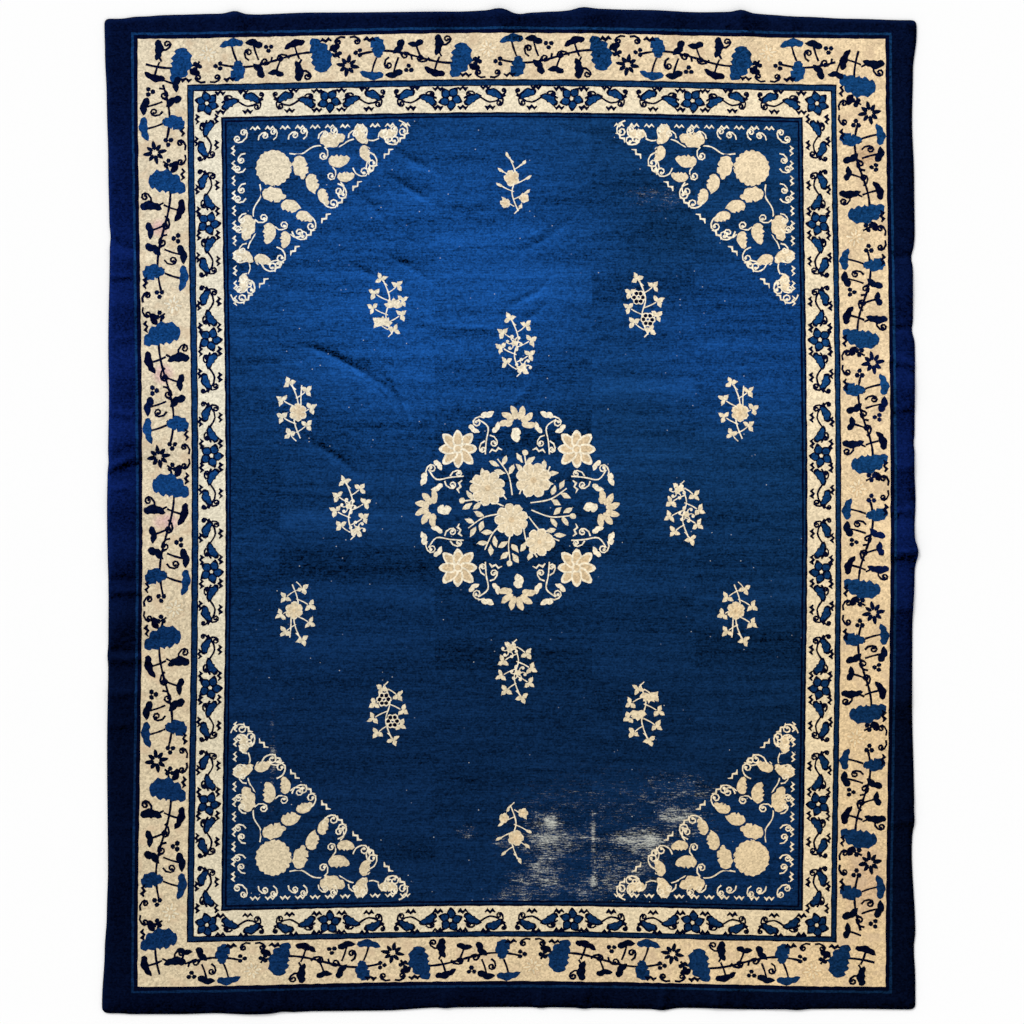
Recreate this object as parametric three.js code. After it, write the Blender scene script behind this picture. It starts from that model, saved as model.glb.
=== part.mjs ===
// A hand-knotted wool pile rug lying flat on a floor, in one piece.
// The middle lies quite flat. The four edges were never woven or trimmed dead straight,
// and they lie in low ripples.
//
// Millimetres, +Z up. The rug's width runs along X and its length along Y, and its
// underside touches the floor at z = 0.

import * as THREE from 'three';

// Driving dimensions
const RUG_WIDTH = 2726; // between the side edges, on average
const RUG_LENGTH = 3370; // between the ends, on average
const RUG_THICKNESS = 8; // foundation and pile together
const EDGE_THICKNESS = 5.5; // the pile leans over and thins at the very edge
const EDGE_ROUNDING = 7; // how far in from the edge the pile reaches its full height
const CORNER_RADIUS = 16; // the worn corners

// How each edge strays from straight. `at` runs along the edge from its middle,
// up the rug (+Y) or across it (+X), and `out` is how far the edge bulges there.
const LEFT_EDGE = [
  { at: -1650, out: 19 },
  { at: -1480, out: 10 },
  { at: -1365, out: 3 },
  { at: -1210, out: -1 },
  { at: -805, out: 2 },
  { at: -500, out: -2 },
  { at: -300, out: -3 },
  { at: -15, out: 2 },
  { at: 410, out: -4 },
  { at: 565, out: -2 },
  { at: 885, out: -7 },
  { at: 1190, out: -2 },
  { at: 1390, out: 3 },
  { at: 1560, out: 9 },
  { at: 1660, out: 11 },
];
const RIGHT_EDGE = [
  { at: -1580, out: 5 },
  { at: -1474, out: 0 },
  { at: -1420, out: 5 },
  { at: -1142, out: -7 },
  { at: -987, out: 1 },
  { at: -635, out: -6 },
  { at: -400, out: -5 },
  { at: -230, out: 2 },
  { at: -128, out: 8 },
  { at: -68, out: 2 },
  { at: 41, out: 6 },
  { at: 142, out: 2 },
  { at: 548, out: 4 },
  { at: 632, out: -3 },
  { at: 869, out: -3 },
  { at: 922, out: 3 },
  { at: 1122, out: 1 },
  { at: 1325, out: -6 },
  { at: 1494, out: -3 },
  { at: 1629, out: 9 },
];
const TOP_EDGE = [
  { at: -1314, out: -17 },
  { at: -1253, out: -10 },
  { at: -1152, out: -4 },
  { at: -983, out: 0 },
  { at: -935, out: 5 },
  { at: -881, out: -3 },
  { at: -665, out: 4 },
  { at: -188, out: 7 },
  { at: -30, out: 13 },
  { at: 38, out: 3 },
  { at: 166, out: 8 },
  { at: 254, out: 17 },
  { at: 437, out: 13 },
  { at: 640, out: 5 },
  { at: 782, out: 6 },
  { at: 843, out: -2 },
  { at: 978, out: -10 },
  { at: 1147, out: -17 },
  { at: 1336, out: -22 },
];
const BOTTOM_EDGE = [
  { at: -1368, out: 7 },
  { at: -1314, out: 13 },
  { at: -1118, out: 13 },
  { at: -1000, out: 10 },
  { at: -881, out: 14 },
  { at: -645, out: 3 },
  { at: -442, out: 1 },
  { at: -222, out: -10 },
  { at: 31, out: -11 },
  { at: 525, out: -4 },
  { at: 579, out: -8 },
  { at: 843, out: -3 },
  { at: 1147, out: -5 },
  { at: 1336, out: -3 },
];
const STRAY_FADE = 230; // an edge's stray has died away this far in

// The ripples: where each one's crest meets the edge, how high it stands there, the half
// width of its foot along the edge, and how far in it reaches before the rug lies flat.
const LEFT_RIPPLES = [
  { at: -1180, height: 4, halfWidth: 130, reach: 230 },
  { at: -640, height: 5, halfWidth: 120, reach: 260 },
  { at: -372, height: 8, halfWidth: 85, reach: 280 },
  { at: -165, height: 7, halfWidth: 90, reach: 260 },
  { at: 40, height: 6, halfWidth: 90, reach: 280 },
  { at: 243, height: 9, halfWidth: 80, reach: 330 },
  { at: 463, height: 6, halfWidth: 110, reach: 280 },
  { at: 700, height: 8, halfWidth: 90, reach: 300 },
  { at: 858, height: 7, halfWidth: 65, reach: 240 },
  { at: 1180, height: 4, halfWidth: 120, reach: 230 },
];
const RIGHT_RIPPLES = [
  { at: -1005, height: 5, halfWidth: 80, reach: 220 },
  { at: -620, height: 4, halfWidth: 110, reach: 220 },
  { at: -297, height: 5, halfWidth: 110, reach: 240 },
  { at: -95, height: 9, halfWidth: 75, reach: 270 },
  { at: 160, height: 6, halfWidth: 110, reach: 240 },
  { at: 412, height: 7, halfWidth: 80, reach: 250 },
  { at: 740, height: 5, halfWidth: 110, reach: 220 },
];
const TOP_RIPPLES = [
  { at: -935, height: 5, halfWidth: 90, reach: 220 },
  { at: -273, height: 5, halfWidth: 110, reach: 220 },
  { at: -20, height: 9, halfWidth: 80, reach: 270 },
  { at: 254, height: 9, halfWidth: 100, reach: 260 },
  { at: 505, height: 5, halfWidth: 110, reach: 220 },
  { at: 775, height: 8, halfWidth: 90, reach: 250 },
];
const BOTTOM_RIPPLES = [
  { at: -850, height: 4, halfWidth: 110, reach: 220 },
  { at: -175, height: 6, halfWidth: 110, reach: 240 },
  { at: 217, height: 6, halfWidth: 120, reach: 240 },
  { at: 717, height: 6, halfWidth: 90, reach: 230 },
  { at: 944, height: 5, halfWidth: 90, reach: 220 },
];

// How finely the rug is divided: the spacing of the points along the edges, the points
// around each corner, and how far in from the edge each ring of points lies.
const EDGE_STEP = 41;
const CORNER_STEPS = 3;
const RING_INSETS = [0, EDGE_ROUNDING, 50, 110, 180, 255, 335];

const smooth = (t) => t * t * (3 - 2 * t);
const near = (distance, reach) => smooth(THREE.MathUtils.clamp(1 - distance / reach, 0, 1));

// The bulge of an edge at a place along it, eased from one row of its table to the next.
function strayAt(edge, place) {
  const after = edge.findIndex((row) => row.at > place);
  if (after === 0) return edge[0].out;
  if (after < 0) return edge[edge.length - 1].out;
  const [from, to] = [edge[after - 1], edge[after]];
  return THREE.MathUtils.lerp(from.out, to.out, smooth((place - from.at) / (to.at - from.at)));
}

// The height of an edge's ripples at a place along the edge and a distance in from it.
function rippleLift(ripples, place, inset) {
  return ripples.reduce((lift, { at, height, halfWidth, reach }) => {
    const along = Math.min(Math.abs(place - at) / halfWidth, 1);
    return lift + height * Math.cos(along * Math.PI / 2) ** 2 * near(inset, reach);
  }, 0);
}

// Moves a point of the straight-edged rug to where it really lies: out with the edges'
// strays, and up with their ripples.
function lie(x, y, height) {
  const left = x + RUG_WIDTH / 2;
  const right = RUG_WIDTH / 2 - x;
  const bottom = y + RUG_LENGTH / 2;
  const top = RUG_LENGTH / 2 - y;
  const lift = Math.max(
    rippleLift(LEFT_RIPPLES, y, left),
    rippleLift(RIGHT_RIPPLES, y, right),
    rippleLift(BOTTOM_RIPPLES, x, bottom),
    rippleLift(TOP_RIPPLES, x, top),
  );
  return new THREE.Vector3(
    x + strayAt(RIGHT_EDGE, y) * near(right, STRAY_FADE) - strayAt(LEFT_EDGE, y) * near(left, STRAY_FADE),
    y + strayAt(TOP_EDGE, x) * near(top, STRAY_FADE) - strayAt(BOTTOM_EDGE, x) * near(bottom, STRAY_FADE),
    height + lift,
  );
}

// A ring of points around the rug, a given distance in from its edge, counter-clockwise
// from the bottom right corner. Each corner is a quarter circle.
function ringPoints(inset) {
  const halfWidth = RUG_WIDTH / 2 - inset - CORNER_RADIUS;
  const halfLength = RUG_LENGTH / 2 - inset - CORNER_RADIUS;
  const sides = [
    { corner: [halfWidth, -halfLength], turn: -Math.PI / 2, next: [halfWidth, halfLength], run: RUG_LENGTH },
    { corner: [halfWidth, halfLength], turn: 0, next: [-halfWidth, halfLength], run: RUG_WIDTH },
    { corner: [-halfWidth, halfLength], turn: Math.PI / 2, next: [-halfWidth, -halfLength], run: RUG_LENGTH },
    { corner: [-halfWidth, -halfLength], turn: Math.PI, next: [halfWidth, -halfLength], run: RUG_WIDTH },
  ];
  const points = [];
  for (const { corner, turn, next, run } of sides) {
    for (let i = 0; i <= CORNER_STEPS; i++) {
      const angle = turn + (i / CORNER_STEPS) * Math.PI / 2;
      points.push([corner[0] + CORNER_RADIUS * Math.cos(angle), corner[1] + CORNER_RADIUS * Math.sin(angle)]);
    }
    const outward = turn + Math.PI / 2;
    const offset = [CORNER_RADIUS * Math.cos(outward), CORNER_RADIUS * Math.sin(outward)];
    const steps = Math.round(run / EDGE_STEP);
    for (let i = 1; i < steps; i++) {
      points.push([0, 1].map((k) => offset[k] + THREE.MathUtils.lerp(corner[k], next[k], i / steps)));
    }
  }
  return points;
}

// The closed sheet: rings of points over the top, the same rings over the underside, a
// flat middle on both, and the thin edge between the two outer rings.
function rugGeometry() {
  const positions = [];
  const triangles = [];
  const ringSize = ringPoints(0).length;

  const addRing = (inset, height) => {
    const first = positions.length / 3;
    for (const [x, y] of ringPoints(inset)) positions.push(...lie(x, y, height));
    return first;
  };
  const joinRings = (outer, inner, faceUp) => {
    for (let i = 0; i < ringSize; i++) {
      const j = (i + 1) % ringSize;
      const quad = faceUp
        ? [outer + i, outer + j, inner + j, inner + i]
        : [outer + j, outer + i, inner + i, inner + j];
      triangles.push(quad[0], quad[1], quad[2], quad[0], quad[2], quad[3]);
    }
  };
  const closeMiddle = (inner, height, faceUp) => {
    const middle = positions.length / 3;
    positions.push(0, 0, height);
    for (let i = 0; i < ringSize; i++) {
      const j = (i + 1) % ringSize;
      triangles.push(...(faceUp ? [inner + i, inner + j, middle] : [inner + j, inner + i, middle]));
    }
  };

  const top = RING_INSETS.map((inset, i) => addRing(inset, i === 0 ? EDGE_THICKNESS : RUG_THICKNESS));
  const underside = RING_INSETS.filter((inset) => inset !== EDGE_ROUNDING).map((inset) => addRing(inset, 0));
  top.slice(1).forEach((inner, i) => joinRings(top[i], inner, true));
  underside.slice(1).forEach((inner, i) => joinRings(underside[i], inner, false));
  joinRings(underside[0], top[0], true);
  closeMiddle(top[top.length - 1], RUG_THICKNESS, true);
  closeMiddle(underside[underside.length - 1], 0, false);

  const geometry = new THREE.BufferGeometry();
  geometry.setAttribute('position', new THREE.Float32BufferAttribute(positions, 3));
  geometry.setIndex(triangles);
  geometry.computeVertexNormals();
  return geometry;
}

const wool = new THREE.MeshStandardMaterial({ color: 0x17427a, roughness: 0.95, metalness: 0 });
const rug = new THREE.Mesh(rugGeometry(), wool);
rug.name = 'rug';

// The strays make the outline a little lopsided, so the rug is slid until the middle of
// its whole outline is at the origin.
rug.geometry.computeBoundingBox();
const middle = rug.geometry.boundingBox.getCenter(new THREE.Vector3());
rug.position.set(-middle.x, -middle.y, 0);

const pekingRug = new THREE.Group();
pekingRug.add(rug);

export default pekingRug;
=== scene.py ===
import math
import random

import bpy
import numpy as np
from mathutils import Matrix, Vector
from mathutils.bvhtree import BVHTree
from mathutils.geometry import delaunay_2d_cdt


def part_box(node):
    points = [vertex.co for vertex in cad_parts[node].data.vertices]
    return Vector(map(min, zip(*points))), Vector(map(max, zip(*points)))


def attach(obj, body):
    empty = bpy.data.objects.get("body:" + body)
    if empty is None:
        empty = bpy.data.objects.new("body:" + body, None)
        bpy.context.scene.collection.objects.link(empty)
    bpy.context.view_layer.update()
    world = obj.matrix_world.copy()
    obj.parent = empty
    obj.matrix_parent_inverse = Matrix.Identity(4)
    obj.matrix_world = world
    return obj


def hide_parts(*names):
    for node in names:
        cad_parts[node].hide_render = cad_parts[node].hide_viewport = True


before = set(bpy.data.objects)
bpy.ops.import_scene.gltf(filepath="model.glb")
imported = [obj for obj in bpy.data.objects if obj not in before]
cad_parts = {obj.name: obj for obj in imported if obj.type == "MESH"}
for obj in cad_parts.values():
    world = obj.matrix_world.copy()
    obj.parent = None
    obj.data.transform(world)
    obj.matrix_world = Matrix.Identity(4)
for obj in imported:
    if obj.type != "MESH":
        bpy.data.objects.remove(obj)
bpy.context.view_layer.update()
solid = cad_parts["rug"]

# The pattern is drawn on a sheet, as one looks down on the rug: x runs right and y runs
# down, and one step of the sheet is 3.38 mm of rug, about half a knot.
STEP = 0.00338
SHEET_MIDDLE = (509.27, 511.56)

# Yarns and dye lots, which are the rug's material slots.
EDGE, LIGHT_LINE, NAVY, IVORY, FIELD, LEAF, TAN, CREAM, PETAL, WHITE, BACK = range(11)

# Where the bands of the borders meet, on the sheet: left, top, right, bottom.
BORDER_OUTER = (140, 36, 888, 984)
GUARD_OUTER = (189, 82, 839, 940)
GUARD_INNER = (196, 89, 833, 934)
FIELD_BAND = (223, 115, 805, 909)

# How far the bands bow, in steps: the sides in at the corners, and the ends out there.
SIDE_BOW = 2.5
END_BOW = 3

draw = random.Random(7)


def ease(t):
    t = min(max(t, 0), 1)
    return t * t * (3 - 2 * t)


def as_woven(x, y):
    """Moves a point of the straight drawing to where the bowed weaving has it."""
    right = SIDE_BOW * math.cos(2 * math.pi * (y - SHEET_MIDDLE[1]) / 1000)
    drop = -END_BOW * math.cos(2 * math.pi * (x - SHEET_MIDDLE[0]) / 800)
    return x + right, y + drop


def on_rug(x, y):
    """A point of the sheet as a place on the rug, in metres."""
    return (x - SHEET_MIDDLE[0]) * STEP, (SHEET_MIDDLE[1] - y) * STEP


def curve(points, closed=False, spacing=2.3):
    """A smooth curve through a few points, as closely spaced points."""
    n = len(points)
    smooth = []
    for i in range(n if closed else n - 1):
        p0 = points[(i - 1) % n] if closed or i > 0 else points[0]
        p1, p2 = points[i], points[(i + 1) % n]
        p3 = points[(i + 2) % n] if closed or i + 2 < n else p2
        pieces = max(1, round(math.dist(p1, p2) / spacing))
        for k in range(pieces):
            t = k / pieces
            smooth.append(tuple(
                0.5 * (2 * b + (c - a) * t + (2 * a - 5 * b + 4 * c - d) * t * t
                       + (3 * b - a - 3 * c + d) * t ** 3)
                for a, b, c, d in zip(p0, p1, p2, p3)
            ))
    return smooth if closed else smooth + [points[-1]]


def curled(points, hand, radius, turns=1.15, tight=0.68):
    """A line that runs on into a curl. Hand 1 turns from the first axis to the second, and -1 back."""
    (ax, ay), (bx, by) = points[-2:]
    side = math.atan2(by - ay, bx - ax) + hand * math.pi / 2
    middle = (bx + radius * math.cos(side), by + radius * math.sin(side))
    steps = math.ceil(turns * 7)
    way = list(points)
    for i in range(1, steps + 1):
        angle = side + math.pi + hand * turns * 2 * math.pi * i / steps
        reach = radius * (1 - tight * i / steps)
        way.append((middle[0] + reach * math.cos(angle), middle[1] + reach * math.sin(angle)))
    return way


def spot(x, y, turn=0, along=1, across=1):
    """Lays a motif's own points on the sheet: at (x, y), its first axis turned clockwise by
    turn degrees, and its two axes scaled. A negative scale flips the motif."""
    c, s = math.cos(math.radians(turn)), math.sin(math.radians(turn))

    def place(point):
        a, b = point[0] * along, point[1] * across
        return x + a * c - b * s, y + a * s + b * c

    return place


def inside(place, x, y, turn=0, along=1, across=1):
    """A spot within another motif's own axes."""
    inner = spot(x, y, turn, along, across)
    return lambda point: place(inner(point))


# How much wider the dark lines are knotted than they are drawn here.
NAVY_LINES = 1.32
PALE_LINES = 0.8


class Pattern:
    """What is knotted in which yarn, as outlines on the sheet. Later ones cover earlier ones."""

    def __init__(self):
        self.corners = []
        self.shapes = []
        self.yarns = []

    def knot(self, yarn, outline, wobble=0.3, woven=True):
        first = len(self.corners)
        for x, y in outline:
            x += draw.uniform(-wobble, wobble)
            y += draw.uniform(-wobble, wobble)
            self.corners.append(as_woven(x, y) if woven else (x, y))
        self.shapes.append(list(range(first, first + len(outline))))
        self.yarns.append(yarn)

    def blob(self, yarn, place, outline, sharp=False):
        smooth = outline if sharp else curve(outline, closed=True)
        self.knot(yarn, [place(p) for p in smooth], 0.5 if yarn in (TAN, CREAM, PETAL) else 0.42)

    def dot(self, yarn, place, x, y, radius):
        sides = 6 if radius < 3 else 8
        turns = [2 * math.pi * (i + 0.5) / sides for i in range(sides)]
        self.knot(yarn, [place((x + radius * math.cos(a), y + radius * math.sin(a))) for a in turns])

    def line(self, yarn, place, points, width=1.8, knob=0):
        """A line through a few points. Width is one number, or several spread along it, and
        knob the radius of the dot that it ends in."""
        way = [place(p) for p in curve(points, spacing=3.4)]
        widths = [width, width] if isinstance(width, (int, float)) else list(width)
        stops = np.linspace(0, 1, len(widths))
        rims = []
        for i, (x, y) in enumerate(way):
            (ax, ay), (bx, by) = way[max(i - 1, 0)], way[min(i + 1, len(way) - 1)]
            length = math.hypot(bx - ax, by - ay) or 1
            half = np.interp(i / (len(way) - 1), stops, widths) / 2 * draw.uniform(0.82, 1.22)
            if yarn == NAVY:
                half *= NAVY_LINES
            elif yarn in (WHITE, CREAM):
                half *= PALE_LINES
            rims.append((x, y, -(by - ay) / length * half, (bx - ax) / length * half))
        first = len(self.corners)
        for x, y, nx, ny in rims:
            self.corners += [as_woven(x + nx, y + ny), as_woven(x - nx, y - ny)]
        for i in range(first, first + 2 * len(rims) - 2, 2):
            self.shapes.append([i, i + 1, i + 3, i + 2])
            self.yarns.append(yarn)
        if knob:
            self.dot(yarn, place, *points[-1], knob)


rug = Pattern()


# The bands

def framed(yarn, edges, inset=0):
    """A band's rectangle of one yarn, inset from the given lines."""
    left, top, right, bottom = edges[0] + inset, edges[1] + inset, edges[2] - inset, edges[3] - inset
    corners = [(left, top), (left, bottom), (right, bottom), (right, top)]
    outline = []
    for (ax, ay), (bx, by) in zip(corners, corners[1:] + corners[:1]):
        pieces = round(math.dist((ax, ay), (bx, by)) / 6)
        outline += [(ax + (bx - ax) * i / pieces, ay + (by - ay) * i / pieces) for i in range(pieces)]
    rug.knot(yarn, outline, wobble=0.36)


def bands():
    framed(LIGHT_LINE, BORDER_OUTER, -6.3)
    framed(NAVY, BORDER_OUTER, -3.9)
    framed(IVORY, BORDER_OUTER)
    framed(NAVY, GUARD_OUTER)
    framed(LIGHT_LINE, GUARD_OUTER, 1.5)
    framed(NAVY, GUARD_INNER, -1.2)
    framed(CREAM, GUARD_INNER)
    framed(NAVY, FIELD_BAND)
    framed(LIGHT_LINE, FIELD_BAND, 2.0)
    framed(NAVY, FIELD_BAND, 3.7)
    framed(FIELD, FIELD_BAND, 5.5)


# The few shapes that the whole pattern is made of

def leaf(yarn, place, spine, wide, lobes=3, slim=0.0, depth=0.36):
    """A leaf along its spine, its margins in so many lobes. Slim is how far they are drawn in."""
    way = curve(spine, spacing=2.4)
    left, right = [], []
    for i, (x, y) in enumerate(way):
        (ax, ay), (bx, by) = way[max(i - 1, 0)], way[min(i + 1, len(way) - 1)]
        length = math.hypot(bx - ax, by - ay) or 1
        along = (i + 0.15) / (len(way) - 0.7)
        swell = wide / 2 * math.sin(math.pi * along ** 0.8) ** 0.7
        for side, margin in ((1, left), (-1, right)):
            wave = abs(math.sin(math.pi * (lobes * along + (0.25 if side > 0 else 0))))
            half = side * (swell * (1 - depth + depth * wave) - slim)
            if half * side > 0.2:
                margin.append((x - (by - ay) / length * half, y + (bx - ax) / length * half))
    rug.knot(yarn, [place(p) for p in left + right[::-1]], 0.3)


def lobed(yarn, place, x, y, turn, long, wide, lobes=3, slim=0.0):
    """A leaf by its middle, the way that it points and its size."""
    spine = [(-long / 2, 0), (0, long * 0.12), (long / 2, 0)]
    leaf(yarn, inside(place, x, y, turn), spine, wide, lobes, slim)


def edged(place, x, y, turn, long, wide, lobes=3):
    """A blue leaf within a dark outline."""
    lobed(NAVY, place, x, y, turn, long, wide, lobes)
    lobed(LEAF, place, x, y, turn, long - 2.4, wide, lobes, 1.3)


def curl(yarn, place, x, y, turn, radius, hand, stalk=9, width=1.7):
    """A tendril that runs on into a curl. Its stalk ends at x, y and grows the way of turn."""
    here = inside(place, x, y, turn)
    way = curled([(-stalk, 0), (-stalk / 2, -hand * stalk / 6), (0, 0)], hand, radius, 1.1)
    rug.line(yarn, here, way, width, width)


def ribbon(yarn, place, x, y, turn, long=15):
    """The wavy end of a tendril, thick in its middle and pointed at the tips."""
    here = inside(place, x, y, turn)
    way = [(long * (i / 4 - 0.5), 1.3 * (-1) ** i) for i in range(5)]
    rug.line(yarn, here, way, [1.2, 3.0, 2.4, 3.0, 0.8])


def trefoil(place, x, y, turn, yarn=EDGE):
    """Three round lobes."""
    for i in range(3):
        rug.dot(yarn, inside(place, x, y, turn + 120 * i), 3, 0, 2.7)


def almond(place, x, y, turn, long=8, wide=3.4, yarn=CREAM):
    """A leaf with two pointed ends."""
    here = inside(place, x, y, turn)
    rim = [(long / 2 * math.cos(a), wide / 2 * math.sin(a) ** 3) for a in
           (2 * math.pi * i / 12 for i in range(12))]
    rug.blob(yarn, here, rim)


def three_leaf(place, x, y, turn, long=8):
    """A leaf of three points. Turn is where its middle point looks."""
    for angle in (-100, 0, 100):
        almond(inside(place, x, y, turn + angle), long / 2 - 1, 0, 0, long, 4.6)


def rosette(place, x, y, radius, lobes, rim=CREAM, heart=IVORY):
    """A flower head of round lobes with an edge, a line between its lobes and a warm eye."""
    here = inside(place, x, y)
    outline = []
    for i in range(lobes * 7):
        angle = 2 * math.pi * i / (lobes * 7)
        reach = radius * (0.8 + 0.2 * abs(math.sin(lobes * angle / 2)) ** 0.6)
        outline.append((reach * math.cos(angle), reach * math.sin(angle)))
    rug.blob(rim, here, outline, sharp=True)
    shrink = 1 - 1.1 / radius
    rug.blob(heart, here, [(a * shrink, b * shrink) for a, b in outline], sharp=True)
    for i in range(lobes):
        rug.line(rim, inside(here, 0, 0, 360 * i / lobes), [(radius * 0.4, 0), (radius * 0.8, 0)], 1)
    rug.dot(TAN, here, 0, 0, radius * 0.18)


# The main border. A length of it runs from one daisy to the next. Its first axis runs
# along the border, down the left side and on around, and its second one across it, from
# the side that the first daisy is nearer to.
WIDE = 49
LENGTH = 140

SIDES = {
    "left": (BORDER_OUTER[0], 90, GUARD_OUTER[0] - BORDER_OUTER[0]),
    "bottom": (BORDER_OUTER[3], 0, BORDER_OUTER[3] - GUARD_OUTER[3]),
    "right": (BORDER_OUTER[2], -90, BORDER_OUTER[2] - GUARD_OUTER[2]),
    "top": (BORDER_OUTER[1], 180, GUARD_OUTER[1] - BORDER_OUTER[1]),
}
INWARD = {"left": 1, "bottom": -1, "right": -1, "top": 1}

# The daisies stand evenly along each side: from where to where, and how many.
DAISIES = [("left", 150, 910, 6), ("bottom", 255, 815, 5), ("right", 860, 110, 7), ("top", 770, 210, 5)]

# What grows on one length of the vine: how far along and across, the turn, the length and
# width, the lobes and the yarn.
VINE_LEAVES = [
    (13, 35, -25, 12, 8, 2, NAVY),
    (31, 28, 75, 38, 23, 5, LEAF),
    (51, 12, 85, 22, 10, 3, EDGE),
    (53, 39, -20, 22, 9, 3, NAVY),
    (72, 9, 10, 16, 8, 2, EDGE),
    (90, 13, 60, 18, 9, 2, EDGE),
    (94, 41, 15, 18, 9, 2, EDGE),
    (112, 14, 100, 22, 16, 4, LEAF),
    (116, 41, -8, 24, 10, 3, LEAF),
]


def border_place(side, at, from_outside, along=1.0):
    """The axes of a length of main border whose first daisy is `at` steps along its side."""
    edge, turn, width = SIDES[side]
    across = -width / WIDE
    if not from_outside:
        edge += width * INWARD[side]
        across = -across
    x, y = (edge, at) if side in ("left", "right") else (at, edge)
    return spot(x, y, turn, along, across)


def vine(place, first=12, last=LENGTH - 12):
    """The stem that winds between two daisies, or a stretch of it, with its leaves."""
    steps = round((last - first) / 6)
    way = [first + (last - first) * i / steps for i in range(steps + 1)]
    rug.line(NAVY, place, [(u, WIDE / 2 + 7 * math.sin(2 * math.pi * u / LENGTH)) for u in way], 1.8)
    for x, y, turn, long, wide, lobes, yarn in VINE_LEAVES:
        if first <= x <= last:
            rug.line(NAVY, place, [(x - 5, WIDE / 2), (x - 2, (y + WIDE / 2) / 2), (x, y)], 1.6)
            lobed(yarn, place, x, y, turn, long, wide, lobes)
    for x, y, turn, hand in ((38, 9, 200, 1), (66, 30, 30, -1), (80, 20, -60, 1), (103, 32, 60, 1)):
        if first <= x <= last:
            curl(NAVY, place, x, y, turn, 4, hand)
    if first <= 79 <= last:
        trefoil(place, 79, 37, 30)


def daisy(place, yarn):
    """Eight lance-shaped petals about an open middle, in dark blue, or in tan that hardly shows."""
    middle = inside(place, 0, 16.5)
    for i in range(8):
        petal = inside(middle, 0, 0, 45 * i + 10)
        long = 10 if i % 2 else 12
        if yarn == NAVY:
            leaf(EDGE, petal, [(2.6, 0), (long, 0)], 4.6, 1, depth=0)
        else:
            leaf(TAN, petal, [(1.5, 0), (long - 1, 0)], 4.6, 1, depth=0)
            leaf(CREAM, petal, [(2.6, 0), (long - 2.6, 0)], 2.4, 1, depth=0)


def edge_scroll(place):
    """The row of curls along the edge, across from a daisy, the same on both its sides."""
    for flip in (-1, 1):
        half = inside(place, 0, 0, 0, flip)
        curl(NAVY, half, 11, 4, 10, 3.4, 1)
        ribbon(NAVY, half, 22, 5, 5, 12)
        trefoil(half, 11, 19, 60)


def main_border():
    for row, (side, first, last, count) in enumerate(DAISIES):
        gap = (last - first) / (count - 1)
        for i in range(count):
            at, outer = first + gap * i, i % 2 == 0
            if i < count - 1:
                vine(border_place(side, at, outer, abs(gap) / LENGTH))
            edge_scroll(border_place(side, at, not outer))
            daisy(border_place(side, at, outer), NAVY if outer == (side in ("left", "right")) else TAN)
        vine(border_place(side, last, count % 2 == 1), 12, 62)
        next_side, next_first = DAISIES[(row + 1) % 4][:2]
        vine(inside(border_place(next_side, next_first, False), -LENGTH, 0), 72, LENGTH - 12)


# The minor border. Its first axis runs along it from a flower and its second one across
# it, from the field outwards.
NARROW = 28
HALF = 58
# Its flowers stand evenly on each side: the line next to the field, the first and last, and how many.
MINOR = {
    "left": (FIELD_BAND[0], 105, 918, 8),
    "right": (FIELD_BAND[2], 105, 918, 8),
    "top": (FIELD_BAND[1], 210, 816, 6),
    "bottom": (FIELD_BAND[3], 210, 816, 6),
}


def half_scroll(place):
    """From a flower to the gap where two scrolls face each other: two leaves and their curls."""
    rug.line(NAVY, place, [(13 + 5 * i, NARROW / 2 + 4 * math.sin(0.9 * i)) for i in range(9)], 1.5)
    edged(place, 22, 12, 30, 19, 10)
    edged(place, 42, 17, -25, 19, 10)
    curl(NAVY, place, 18, 21, 160, 2.8, 1, 6, 1.5)
    curl(NAVY, place, 50, 9, -80, 3.2, -1, 7, 1.5)
    curl(NAVY, place, 53, 20, 30, 2.4, 1, 6, 1.5)
    for x, y in ((12, 5), (38, 5), (12, 24), (34, 25)):
        ribbon(NAVY, place, x, y, 0, 10)


def petal_flower(place, petals=5):
    """A flower of broad petals."""
    for i in range(petals):
        edged(inside(place, 0, 0, 360 * i / petals - 90), 7.2, 0, 0, 11, 10, 1)


def minor_place(side, at, way, along=1.0):
    """The axes of a half scroll of the minor border, running one way along its side."""
    inner = MINOR[side][0]
    if side in ("left", "right"):
        outward = -1 if side == "left" else 1
        return lambda p: (inner + outward * p[1], at + way * p[0] * along)
    outward = -1 if side == "top" else 1
    return lambda p: (at + way * p[0] * along, inner + outward * p[1])


def minor_border():
    for side, (_, first, last, count) in MINOR.items():
        gap = (last - first) / (count - 1)
        for i in range(count):
            at = first + gap * i
            for way in (1, -1):
                if 0 <= i + way < count:
                    half_scroll(minor_place(side, at, way, gap / 2 / HALF))
            if 0 < i < count - 1:
                petal_flower(inside(minor_place(side, at, 1), 0, NARROW / 2))
    for x in (FIELD_BAND[0] - NARROW / 2, FIELD_BAND[2] + NARROW / 2):
        for y in (FIELD_BAND[1] - NARROW / 2, FIELD_BAND[3] + NARROW / 2):
            petal_flower(spot(x, y, 45), 6)


# The field's corners. Each is a triangle of leaves and curls, the same on both sides of
# its diagonal. The axes run away from the corner.
CORNER_GAP = 8
CORNER_RIM = 186
CORNER_ROWS = [(118, 25, 2), (146, 21, 3), (169, 17, 4)]
CORNER_PART = 4


def across_corner(out, share):
    """A point of a row across the corner, from the diagonal (0) to the border (1)."""
    return out * (1 + share) / 2, out * (1 - share) / 2


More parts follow.
